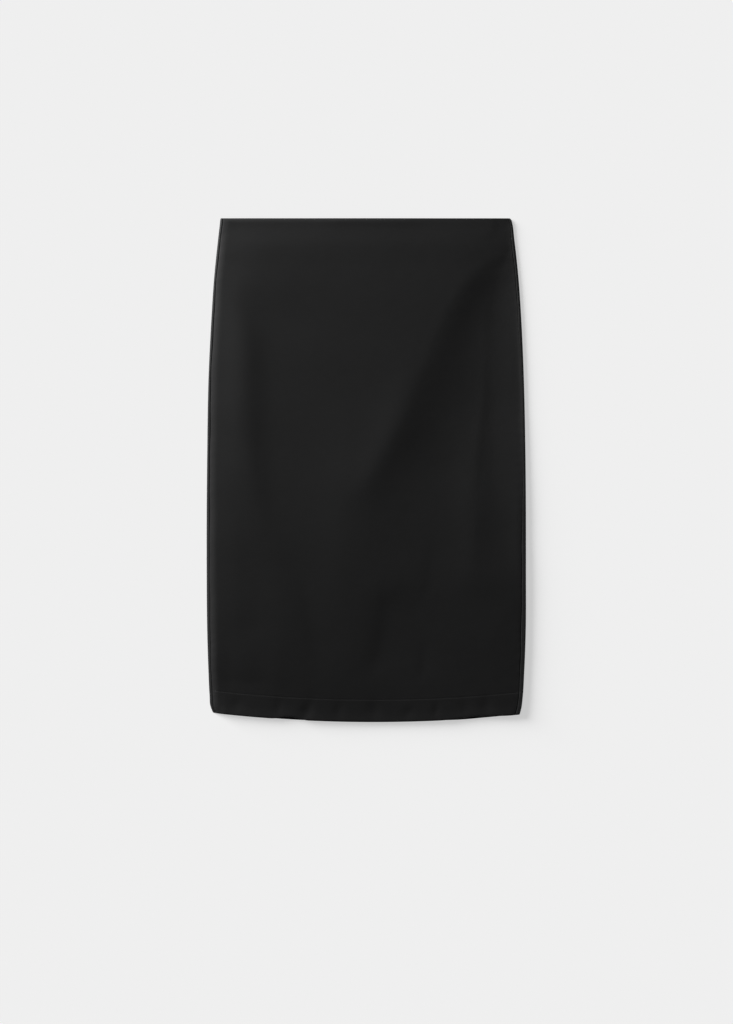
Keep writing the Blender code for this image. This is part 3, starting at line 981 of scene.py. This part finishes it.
class SKIRT_OT_hem_stitching(bpy.types.Operator):
    """Sew the hem of both panels with a row of thread"""
    bl_idname = "skirt.hem_stitching"
    bl_label = "Hem stitching"

    def execute(self, context):
        sizes = context.scene.skirt_sizes
        across = np.linspace(*STITCHED_SHARES, STITCH_LINE_POINTS)
        front, _ = front_sheet(sizes, [Row(1.0, -sizes.hem_turn, 0.0)], across)
        front = front[0] + np.array([0.0, 0.0, THREAD_OUT * sizes.thread])
        back, _ = back_sheet(sizes, [Row(1.0, -sizes.hem_turn, -THREAD_OUT * sizes.thread)])
        back = back[0] + np.array([0.0, 0.0, BACK_THREAD_LIFT * sizes.thread])
        threads = [stitch_row("front_hem_stitches", front, sizes),
                   stitch_row("back_hem_stitches", back, sizes)]
        return {"FINISHED"}


# ------------------------------------------------------------------ the studio
def add_light(given, receivers):
    """A light that is aimed at the skirt's middle and falls on the receivers alone."""
    light = bpy.data.objects.new(given.name, bpy.data.lights.new(given.name, given.kind))
    turn, height = np.radians(given.turn), np.radians(given.height)
    away = Vector((np.cos(height) * np.cos(turn), np.cos(height) * np.sin(turn), np.sin(height)))
    light.location = away * given.distance
    light.rotation_euler = away.to_track_quat("Z", "Y").to_euler()
    light.data.energy = given.energy
    bpy.context.scene.collection.objects.link(light)
    lit = bpy.data.collections.new("lit by " + given.name)
    for thing in receivers:
        lit.objects.link(thing)
    light.light_linking.receiver_collection = lit
    return light


def floor_material(studio):
    """An even, matt floor that glows a little itself."""
    tone = studio.floor_colour
    material, _, _ = new_material("pale_floor", {
        "Base Color": (tone, tone, tone, 1.0), "Roughness": 1.0, "Specular IOR Level": 0.0,
        "Emission Color": (1.0, 1.0, 1.0, 1.0), "Emission Strength": studio.floor_glow})
    return material


class SKIRT_OT_studio(bpy.types.Operator):
    """Set out the pale floor, the low soft light from the upper left and the camera overhead"""
    bl_idname = "skirt.studio"
    bl_label = "Studio"

    def execute(self, context):
        scene = context.scene
        studio = scene.skirt_studio
        bm = bmesh.new()
        bmesh.ops.create_grid(bm, x_segments=1, y_segments=1, size=FLOOR_HALF,
                              matrix=Matrix.Translation((0.0, 0.0, FLOOR_HEIGHT)))
        floor = new_piece("floor", bm)
        floor.data.materials.append(floor_material(studio))
        floor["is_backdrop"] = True

        key = add_light(CLOTH_LIGHT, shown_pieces())
        key.data.shape = "DISK"
        key.data.size = CLOTH_LIGHT_WIDTH
        sun = add_light(FLOOR_LIGHT, [floor])
        sun.data.angle = np.radians(FLOOR_LIGHT_SPREAD)

        world = bpy.data.worlds.new("studio")
        scene.world = world
        world.use_nodes = True
        background = world.node_tree.nodes["Background"]
        background.inputs["Color"].default_value = (1.0, 1.0, 1.0, 1.0)
        background.inputs["Strength"].default_value = AIR_LIGHT

        camera = bpy.data.cameras.new("camera")
        camera.sensor_width = SENSOR_WIDTH
        camera.lens = SENSOR_WIDTH * studio.camera_height / studio.frame_height
        camera.clip_end = CAMERA_REACH
        holder = bpy.data.objects.new("camera", camera)
        holder.location = (*CAMERA_PLACE, studio.camera_height)
        scene.collection.objects.link(holder)
        scene.camera = holder
        scene.view_settings.view_transform = "Standard"
        return {"FINISHED"}


STEPS = ("front_panel", "back_panel", "hem_stitching", "studio")


class VIEW3D_PT_skirt(bpy.types.Panel):
    """Steps and settings of the skirt"""
    bl_label = "Laid Pencil Skirt"
    bl_space_type = "VIEW_3D"
    bl_region_type = "UI"
    bl_category = "Skirt"

    def draw(self, context):
        for step in STEPS:
            self.layout.operator("skirt." + step)
        scene = context.scene
        for settings in (scene.skirt_sizes, scene.skirt_looks, scene.skirt_studio):
            box = self.layout.box()
            for name in settings.__annotations__:
                box.prop(settings, name)


CLASSES = (
    SkirtSizes, ClothLooks, StudioLooks, SKIRT_OT_front_panel, SKIRT_OT_back_panel,
    SKIRT_OT_hem_stitching, SKIRT_OT_studio, VIEW3D_PT_skirt,
)


def register():
    for kind in CLASSES:
        bpy.utils.register_class(kind)
    bpy.types.Scene.skirt_sizes = PointerProperty(type=SkirtSizes)
    bpy.types.Scene.skirt_looks = PointerProperty(type=ClothLooks)
    bpy.types.Scene.skirt_studio = PointerProperty(type=StudioLooks)


def unregister():
    del bpy.types.Scene.skirt_studio
    del bpy.types.Scene.skirt_looks
    del bpy.types.Scene.skirt_sizes
    for kind in reversed(CLASSES):
        bpy.utils.unregister_class(kind)


def main():
    """Build the skirt step by step."""
    register()
    for step in STEPS:
        getattr(bpy.ops.skirt, step)()


if __name__ == "__main__":
    main()
